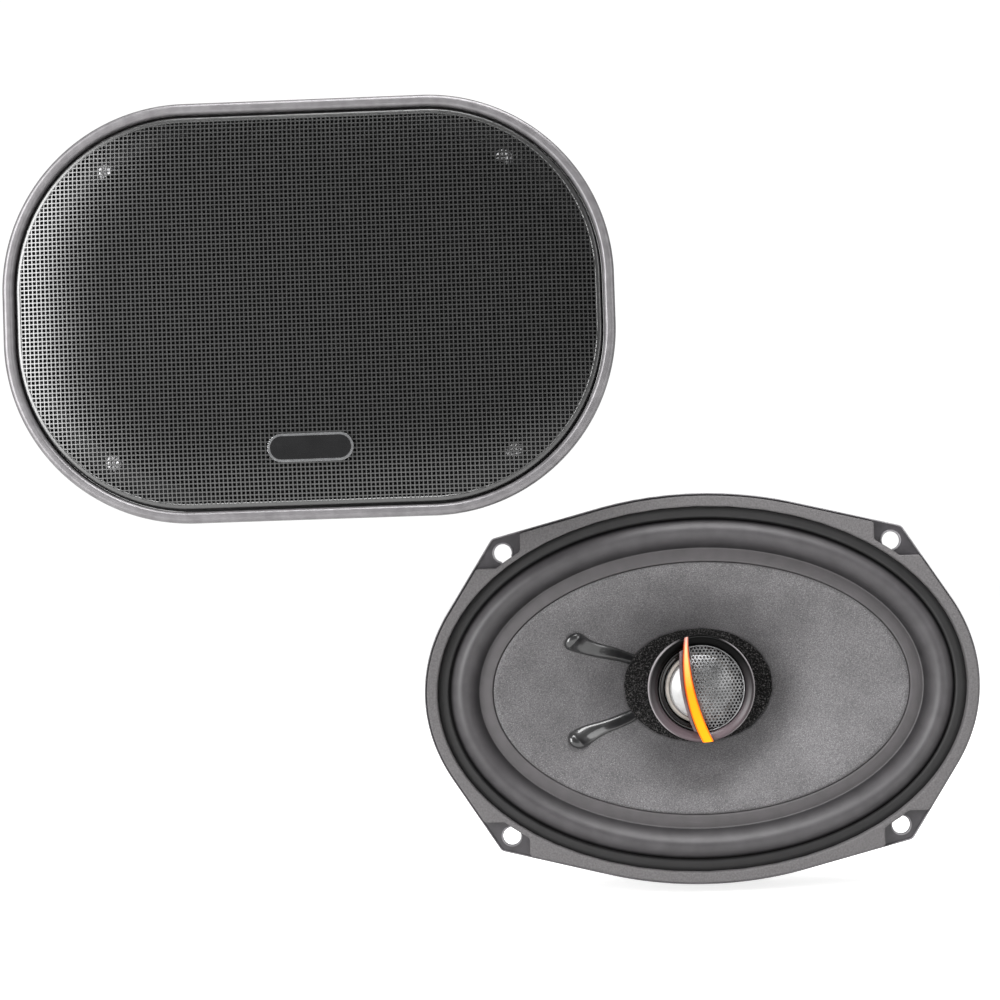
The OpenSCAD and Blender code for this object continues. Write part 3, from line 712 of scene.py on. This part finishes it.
def surround():
    """Rubber: a raised lip over the cone's edge, a sloping ledge, a half roll and a flat foot."""
    inner = [(-0.6, EDGE_Z - 0.8), (0.42, EDGE_Z - 0.8), (0.46, EDGE_Z + 0.2),
             (0.75, EDGE_Z + 0.45), (1.3, EDGE_Z + 0.4), (2.6, EDGE_Z + 0.3), (4.4, EDGE_Z),
             (5.6, EDGE_Z - 0.35), (6.1, EDGE_Z - 0.5)]
    outer = [(18.6, FOOT_Z - 0.5), (18.95, FOOT_Z - 0.8), (19.35, FOOT_Z - 0.5), (19.7, FOOT_Z),
             (20.4, FOOT_Z + 0.1), (22.0, FOOT_Z), (FOOT_OUT, FOOT_Z)]
    top = inner + roll_line(28, 0)[1:-1] + outer
    under = [(FOOT_OUT, FLANGE_Z + 0.02), (19.4, FLANGE_Z + 0.02)]
    under += roll_line(16, SKIN_T)[::-1] + [(-0.6, EDGE_Z - SKIN_T - 0.3)]
    profile = top + under
    obj = band("surround_rubber", lambda d: oval(d, ROUND), profile, materials["surround_rubber"],
               None)
    for name in ("surround_foot", "surround_ledge"):
        obj.data.materials.append(materials[name])
    # The foot gets the darker rubber, painted shade from the gasket's wall; the ledge gets a lighter rubber.
    foot, ledge = 1, 2
    for k, face in enumerate(obj.data.polygons):
        row = k // len(ROUND)
        if row < len(inner) - 1:
            face.material_index = ledge
        elif len(top) - len(outer) < row <= len(top):
            face.material_index = foot
    # Painted shade: darker in the inner crease beside the ledge, and near black in the outer crease before the
    # foot.
    reach = np.repeat([d for d, _ in profile], len(ROUND))
    shade = np.minimum(crease_shade(reach, 6.3, 0.1, 3.8, 0.4),
                       crease_shade(reach, 18.8, 2.0, 0.9, 0.03))
    attribute = obj.data.attributes.new(SHADE, "FLOAT", "POINT")
    attribute.data.foreach_set("value", shade.astype(np.float32))
    return stands_for(bends_round(obj, ROLL_OUT, ROLL_IN - 0.6, oval_offset), "surround")


def oval_offset(x, z):
    """About how many millimetres outwards from the cone's edge a point of the row frame lies."""
    furthest, halvings = 40.0, 30
    x, y = np.abs(x) / MM, np.abs(z) / MM
    low, high = np.full(len(x), -CONE_B), np.full(len(x), furthest)
    for _ in range(halvings):
        middle = (low + high) / 2
        outside = (x / (CONE_A + middle)) ** 2 + (y / (CONE_B + middle)) ** 2 > 1
        low, high = np.where(outside, middle, low), np.where(outside, high, middle)
    return low


def radius_of(x, z):
    return np.hypot(x, z) / MM


def bends_round(obj, still, moving, measure):
    """Bakes a ring's place into its points and works out each point's share of the way from its still edge to its
    moving edge, but does not use that share.
    """
    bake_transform(obj)
    points = np.array([v.co for v in obj.data.vertices])
    share = eased(np.clip((still - measure(points[:, 0], points[:, 2])) / (still - moving), 0, 1))
    return obj


def cone():
    rows = np.linspace(0, 1, 36)
    front = [cone_point(t, ROUND) for t in rows]
    back = [cone_point(t, ROUND) - (0, 0, CONE_T) for t in rows[::-1]]
    obj = loft("cone_paper", front + back, materials["cone_paper"], "cone_assembly")
    return stands_for(obj, "cone")


FELT_EDGE, FELT_BORE, FELT_SAG, FELT_T = 0.78, 7.2, 4.5, 0.9
FELT_LIFT, FELT_NAP, FELT_RAGGED = 1.2, 0.16, 0.004


def dust_felt():
    """Felt bowl with a slightly ragged edge and a rough nap."""
    wobble = np.random.default_rng(7)
    ragged = 1 + FELT_RAGGED * smoothed(wobble.standard_normal(len(ROUND)))
    edge = cone_point(FELT_EDGE, ROUND)
    inner = FELT_BORE * np.column_stack([np.cos(ROUND), np.sin(ROUND)])
    rings = []
    for s in np.linspace(0, 1, 30):
        xy = edge[:, :2] * ragged[:, None] * (1 - s) + inner * s
        z = edge[0, 2] + FELT_LIFT - FELT_SAG * math.sin(math.pi / 2 * s)
        nap = FELT_NAP * wobble.standard_normal(len(ROUND)) * (s < 1)
        rings.append(np.column_stack([xy, z + nap]))
    back = [ring - (0, 0, FELT_T) for ring in rings[::-1]]
    obj = loft("felt_bowl", rings + back, materials["felt"], "cone_assembly")
    return stands_for(obj, "dust_felt")


def smoothed(values):
    """Values evened out with their neighbours three times, and strengthened to make up for it."""
    for _ in range(3):
        values = (np.roll(values, 1) + values + np.roll(values, -1)) / 3 * 1.4
    return values


GLUE_TURN = (45.5, 33.5)   # degrees from the cone's left, at the drop and at the felt
GLUE_FROM, GLUE_RUN, GLUE_SWAY = 0.3, 0.52, 0.6   # the first two are shares of the cone's slope
DROP_SHARE, DROP_W, TAIL_W, GLUE_H, DROP_H = 0.13, 4.5, 2.5, 1.2, 2.0


def lead_glue(side, name):
    """A drop whose tail narrows down the cone to the felt."""
    u = angles(24)
    least = 0.05
    rings = []
    for s in np.linspace(0, 1, 110):
        a = math.pi - side * math.radians(GLUE_TURN[0] + (GLUE_TURN[1] - GLUE_TURN[0]) * s)
        across = np.array([-math.sin(a), math.cos(a), 0])
        centre = cone_point(GLUE_FROM + GLUE_RUN * s, np.array([a]))[0]
        centre = centre + across * side * GLUE_SWAY * math.sin(TURN * s)
        nose = math.sqrt(max(0.0, 1 - (1 - min(1.0, s / DROP_SHARE)) ** 2))
        left = min(1.0, (1 - s) / (1 - DROP_SHARE))
        width = DROP_W * nose if s < DROP_SHARE else TAIL_W + (DROP_W - TAIL_W) * left**1.5
        height = (GLUE_H + DROP_H) * nose if s < DROP_SHARE else GLUE_H + DROP_H * left**11
        cap = max(least, min(1.0, math.sqrt((1 - s) / 0.03)))
        ripple = 1 + 0.05 * math.sin(11 * s + side)
        rings.append(centre + np.outer((width * ripple * cap + least) * np.cos(u), across)
                     + np.outer((height * cap + least) * np.sin(u), (0, 0, 1)))
    first, last = (np.tile(ring.mean(0), (len(u), 1)) for ring in (rings[0], rings[-1]))
    obj = loft(f"glue_{name}", [first, *rings, last], materials["black_glue"], "cone_assembly",
               closed=False)
    return stands_for(obj, f"lead_glue_{name}")


SPIDER_Z = -39.0
SPIDER_IN, SPIDER_OUT = 16.5, 51.2
SPIDER_T = 0.7
WAVE_IN, WAVE_OUT, WAVES, WAVE_H = 19.5, 44.0, 5, 1.5


def spider_z(r):
    u = (r - WAVE_IN) / (WAVE_OUT - WAVE_IN)
    return SPIDER_Z + (WAVE_H * math.sin(TURN * WAVES * u) if 0 < u < 1 else 0.0)


def spider():
    """Corrugated cloth disc."""
    radii = np.linspace(SPIDER_IN, SPIDER_OUT, 90)
    profile = [(r, spider_z(r) + SPIDER_T) for r in radii]
    profile += [(r, spider_z(r)) for r in radii[::-1]]
    obj = lathe("spider_cloth", profile, materials["spider_cloth"], None, 120)
    return stands_for(bends_round(obj, WAVE_OUT, WAVE_IN, radius_of), "spider")


# The upper lead's route, the same as in part.scad
TINSEL = [(-55, 19.3, -9.3), (-55.6, 19, -13), (-58, 17, -20), (-60.8, 14, -27),
          (-61.5, 11.6, -34), (-59.8, 9.8, -39.5), (-57.6, 9.2, -41.7)]
TINSEL_WIDTH = 1.3


def tinsel_lead(side, name):
    """Braided lead from the cone's back to its terminal."""
    route = [(x, side * y, z) for x, y, z in TINSEL]
    rings, path = tube_points(route, TINSEL_WIDTH / 2)
    obj = loft(f"tinsel_{name}", rings, materials["tinsel"], None, closed=False)
    path = in_frame(path, SEATED)
    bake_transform(obj)
    stands_for(obj, f"tinsel_lead_{name}")
    return obj


# ---- tweeter ----
def tweeter_bezel():
    """Ring round the mouth, highest near its outer edge."""
    profile = filleted([(21.8, -2.4), (22.4, -2.0), (BEZEL_R, 0), (BEZEL_R, BEZEL_Z - 1.2),
                        (BEZEL_R - 0.5, BEZEL_Z - 0.35), (BEZEL_R - 1.3, BEZEL_Z),
                        (MOUTH_R + 1.4, BEZEL_Z - 0.8), (MOUTH_R + 0.2, BEZEL_Z - 1.8),
                        (MOUTH_R, -0.6), (MOUTH_R, -1.4), (21.5, -1.4), (21.5, -2.4)], 0.5)
    obj = lathe("bezel_ring", profile, materials["bezel_black"], "speaker", 200)
    return stands_for(obj, "tweeter_bezel")


def tweeter_dome():
    """Coated dome with a small half roll round its foot."""
    rows = np.linspace(0.02, 1, 24)
    top = [(DOME_R * u, DOME_Z + DOME_H * (1 - u**2)) for u in rows]
    top += [(DOME_R + 0.15, DOME_Z + 0.25), (DOME_R + 0.4, DOME_Z + 0.45),
            (DOME_R + 0.55, DOME_Z + 0.3)]
    under = [(r, z - DOME_T) for r, z in top[::-1]]
    obj = lathe("dome_cap", top + under, materials["dome_silver"], "tweeter_diaphragm", 120)
    return stands_for(obj, "tweeter_dome")


def dome_ring():
    """Pale ring round the dome, a dark gap, and a black step up to the mouth."""
    pale = filleted([(RING_IN, -2.6), (RING_OUT, -2.6), (RING_OUT, -0.5), (RING_OUT - 0.5, 0.1),
                     (RING_IN, 0.2)], 0.3)
    stands_for(lathe("dome_collar", pale, materials["ring_grey"], "speaker"), "dome_ring")
    step = filleted([(GAP_OUT, -2.6), (STEP_OUT, -2.6), (STEP_OUT, 0.9), (STEP_OUT - 0.7, 1.0),
                     (STEP_OUT - 1.1, 0.2), (GAP_OUT + 0.3, 0.1), (GAP_OUT, -0.3)], 0.25)
    lathe("mouth_step", step, materials["gloss_black"], "speaker")


def screen_z(r):
    share = np.minimum(r, SCREEN_DOME_R) / SCREEN_DOME_R
    return SCREEN_Z + SCREEN_H * np.maximum(0, 1 - share**2)


def beside_blade(x, y, margin):
    cx, cy, radius = SCREEN_EDGE
    return np.hypot(x - cx, y - cy) < radius - margin


def tweeter_screen():
    """Sheet with staggered round holes, over the right of the mouth."""
    sides, around = 12, range(-14, 15)
    a = angles(sides) + TURN / sides
    circle = np.column_stack([np.cos(a), np.sin(a)])
    hexagon = np.where(np.arange(sides) % 2 == 0, SCREEN_PITCH / math.sqrt(3), SCREEN_PITCH / 2)
    outer, inner = hexagon[:, None] * circle, SCREEN_HOLE_R * circle
    cell = np.array(grid_faces(3, sides, False))
    points, faces = [], []
    for j in around:
        for i in around:
            x, y = (i + 0.5 * (j % 2)) * SCREEN_PITCH, j * SCREEN_PITCH * math.sqrt(3) / 2
            if math.hypot(x, y) > SCREEN_RIM_R - 0.9 or not beside_blade(x, y, 0.8):
                continue
            faces += (cell + len(points)).tolist()
            for shape, drop in ((outer, 0), (inner, 0), (inner, SCREEN_T)):
                ring = shape + (x, y)
                z = screen_z(np.hypot(ring[:, 0], ring[:, 1])) - drop
                points += np.column_stack([ring, z]).tolist()
    obj = piece("screen_sheet", points, faces, materials["screen_silver"], "speaker", smooth=False)
    return stands_for(obj, "tweeter_screen")


def screen_border():
    """Plain border of the screen: the arc of its rim and its edge beside the blade."""
    cx, cy, radius = SCREEN_EDGE
    a = np.linspace(-TURN / 2, TURN / 2, 721)
    rim = SCREEN_RIM_R * np.column_stack([np.cos(a), np.sin(a)])
    rim = rim[beside_blade(rim[:, 0], rim[:, 1], 0)]
    chord_a = np.linspace(math.pi - 0.25, math.pi + 0.25, 241)
    chord = np.column_stack([cx + radius * np.cos(chord_a), cy + radius * np.sin(chord_a)])
    chord = chord[np.hypot(chord[:, 0], chord[:, 1]) < SCREEN_RIM_R]
    outline = np.concatenate([rim, chord[::-1]])
    inward = []
    for x, y in outline:
        r = math.hypot(x, y)
        on_rim = r > SCREEN_RIM_R - 0.02
        to_edge = np.array([cx - x, cy - y]) / math.hypot(cx - x, cy - y)
        inward.append(-np.array([x, y]) / r if on_rim else to_edge)
    rings = []
    for width, lift in ((0.0, -0.5), (0.0, 0.02), (0.1, 0.05), (0.45, 0.0), (0.45, -0.5)):
        ring = outline + np.array(inward) * width
        rings.append(np.column_stack([ring, screen_z(np.hypot(ring[:, 0], ring[:, 1])) + lift]))
    obj = loft("screen_border", rings, materials["screen_silver"], "speaker")
    return obj


# ---- grille ----
def grille_track(inset):
    return track(inset, angles(360) + TURN / 720)


def grille_trim():
    """Rounded ring round the grille."""
    profile = filleted([(0.3, SEAT_Z), (0, SEAT_Z + 1), (0, TRIM_Z - 1.9), (0.5, TRIM_Z - 0.6),
                        (1.6, TRIM_Z), (3.7, TRIM_Z - 0.1), (4.5, TRIM_Z - 0.9), (4.8, TRIM_Z - 2),
                        (4.8, SEAT_Z)], 0.8)
    obj = band("trim_ring", grille_track, profile, materials["trim_grey"], "grille", STOOD_OFF)
    return stands_for(obj, "grille_trim")


def grille_mesh():
    """Painted metal with a square grid of square holes."""
    half = MESH_PITCH / 2
    columns, rows = int(GRILLE_W / 2 / MESH_PITCH) + 1, int(GRILLE_H / 2 / MESH_PITCH) + 1
    cx, cy = np.meshgrid(np.arange(-columns, columns + 1), np.arange(-rows, rows + 1))
    cx, cy = cx.ravel() * MESH_PITCH, cy.ravel() * MESH_PITCH
    fits = inset_of(np.abs(cx) + half, np.abs(cy) + half) > MESH_INSET + MESH_PLAIN
    cx, cy = cx[fits], cy[fits]
    corner = np.array([(-1, -1), (1, -1), (1, 1), (-1, 1)]) / 2
    layers = []
    for size, drop in ((MESH_PITCH, 0), (MESH_MOUTH, 0), (MESH_HOLE, MESH_T)):
        x = cx[:, None] + corner[:, 0] * size
        y = cy[:, None] + corner[:, 1] * size
        layers.append(np.stack([x, y, mesh_z(inset_of(x, y)) - drop], 2))
    points = np.concatenate(layers, 1)
    start = np.arange(len(cx))[:, None, None] * points.shape[1]
    cell = np.array(grid_faces(len(layers), len(corner), False))
    obj = piece("mesh_sheet", points.reshape(-1, 3), (cell + start).reshape(-1, 4),
                materials["mesh_black"], "grille", STOOD_OFF, smooth=False)
    return stands_for(obj, "grille_mesh")


def mesh_edge():
    """Plain edge of the mesh, which turns down behind the trim."""
    profile = [(e, float(mesh_z(MESH_INSET + e)) - 0.05) for e in (2.4, 1.6, 0.9)]
    profile += [(0.35, MESH_LOW - 0.05), (0, MESH_LOW - 0.7), (0, MESH_FOOT), (0.9, MESH_FOOT),
                (0.9, MESH_LOW - 1.2), (2.4, MESH_LOW - 0.9)]
    obj = band("mesh_edge", lambda d: grille_track(MESH_INSET + d), profile,
               materials["mesh_black"], "grille", STOOD_OFF)
    return obj


def grille_cloth():
    """Black cloth behind the mesh, turned down at its edge to the frame."""
    rings = []
    for s in np.linspace(1e-4, 1, 36):
        xy = oval(CLOTH_REACH, ROUND) * s
        rings.append(np.column_stack([xy, mesh_z(inset_of(xy[:, 0], xy[:, 1])) - CLOTH_GAP]))
    edge = rings[-1]
    for u in np.linspace(0.25, 1, 4):
        rings.append(np.column_stack([edge[:, :2], edge[:, 2] * (1 - u) + (MESH_FOOT + 0.1) * u]))
    obj = loft("grille_cloth", rings, materials["cloth_black"], "grille", False, STOOD_OFF)
    return obj


def grille_rivets():
    """Domed heads with a dimple."""
    profile = filleted([(0.05, MESH_FOOT + 1.1), (1.2, MESH_FOOT + 1.1), (2.0, MESH_FOOT + 1.4),
                        (3.3, MESH_FOOT + 1.1), (4.0, MESH_FOOT + 0.1), (4.0, MESH_FOOT),
                        (0.05, MESH_FOOT)], 0.4)
    for side_x, side_y, corner in four_corners():
        lathe(f"rivet_{corner}", profile, materials["rivet_bright"], "grille", 48,
                           STOOD_OFF, (side_x * EAR_X, side_y * EAR_Y))
    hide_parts("grille_rivets")


# ---- camera, floor and light ----
def aim(obj, target, roll=0.0):
    """Turns a camera or a light towards a target, rolled by some degrees."""
    look = (Vector(target) - obj.location).to_track_quat("-Z", "Y")
    obj.rotation_mode = "QUATERNION"
    obj.rotation_quaternion = look @ Quaternion((0, 0, 1), math.radians(roll))


def set_camera():
    """The eye is where the photograph's eye is, and looks at the middle of speaker and grille."""
    azimuth, elevation, distance = math.radians(-3.5), math.radians(3.7), 0.95
    sensor, view_width = 36, 1 / 2.3    # millimetres, and metres at the object's distance
    data = bpy.data.cameras.new("camera")
    data.lens = sensor * distance / view_width
    camera = bpy.data.objects.new("camera", data)
    scene.collection.objects.link(camera)
    level = math.cos(elevation)
    camera.location = distance * Vector((math.sin(azimuth) * level, -math.cos(azimuth) * level,
                                         math.sin(elevation)))
    aim(camera, (-0.084, 0, 0.084), -1.9)
    scene.camera = camera


def area_light(name, location, size, power):
    target = (-0.06, 0, 0.06)
    data = bpy.data.lights.new(name, "AREA")
    data.shape = "RECTANGLE"
    data.size, data.size_y = size
    data.energy = power
    light = bpy.data.objects.new(name, data)
    scene.collection.objects.link(light)
    light.location = location
    aim(light, target)


def by_camera(material, to_object, to_camera):
    """A strength that differs between what the camera sees and what lights the object."""
    seen = add(material, "ShaderNodeLightPath").outputs["Is Camera Ray"]
    return spread(material, seen, 0.0, 1.0, to_object, to_camera)


def set_studio():
    scene.view_settings.view_transform = "Standard"
    world = bpy.data.worlds.new("studio")
    world.use_nodes = True
    sky = world.node_tree.nodes["Background"]
    sky.inputs["Color"].default_value = WHITE
    link(world, by_camera(world, 0.3, 1.05), sky.inputs["Strength"])
    scene.world = world
    area_light("key_left", (-1.15, -1.1, 0.25), (0.7, 1.5), 44)
    area_light("fill_right", (1.3, -0.9, 0.35), (0.4, 1.0), 6)
    area_light("overhead", (0.1, -0.45, 1.3), (1.2, 0.5), 26)
    floor_mesh = bpy.data.meshes.new("floor")
    disc = bmesh.new()
    bmesh.ops.create_circle(disc, cap_ends=True, segments=96, radius=6)
    disc.to_mesh(floor_mesh)
    disc.free()
    floor = bpy.data.objects.new("floor", floor_mesh)
    seated_low = -GRILLE_H / 2 * MM
    clearance = 0.2 * MM
    floor.location = (0, 0, min(cad_box[0].z, seated_low) - clearance)
    material, shader = new_material("floor_paper", {
        "Roughness": 0.9, "Specular IOR Level": 0.1, "Emission Color": WHITE})
    link(material, by_camera(material, 0.1, 0.72), shader.inputs["Emission Strength"])
    coloured(material, shader, noise(material, 60.0),
             (0.3, rgb(246, 246, 245)), (0.7, rgb(250, 250, 249)))
    floor_mesh.materials.append(material)
    scene.collection.objects.link(floor)


set_camera()
set_studio()

ROUNDED = {
    "gasket": 0.7, "basket": 0.25, "accent_blade": 0.35, "blade_rail": 0.3, "badge_face": 0.5,
    "badge_rim": 0.3, "top_plate": 0.3, "magnet": 0.6, "back_plate": 0.5,
    "terminal_positive": 0.15, "terminal_negative": 0.15, "terminal_board": 0.2, "post_nut": 0.3,
    "capacitor_strap": 0.2, "crossover_capacitor": 0.5, "motor_rivets": 0.3, "tweeter_cup": 0.4}
for name in frame["nodes"]:
    finish_node(name, ROUNDED.get(name, 0.0))

flange_lip()
hole_rims()
surround()
cone()
dust_felt()
lead_glue(1, "upper")
lead_glue(-1, "lower")
spider()
tinsel_lead(1, "upper")
tinsel_lead(-1, "lower")
tweeter_bezel()
tweeter_dome()
dome_ring()
tweeter_screen()
screen_border()
grille_trim()
grille_mesh()
mesh_edge()
grille_cloth()
grille_rivets()
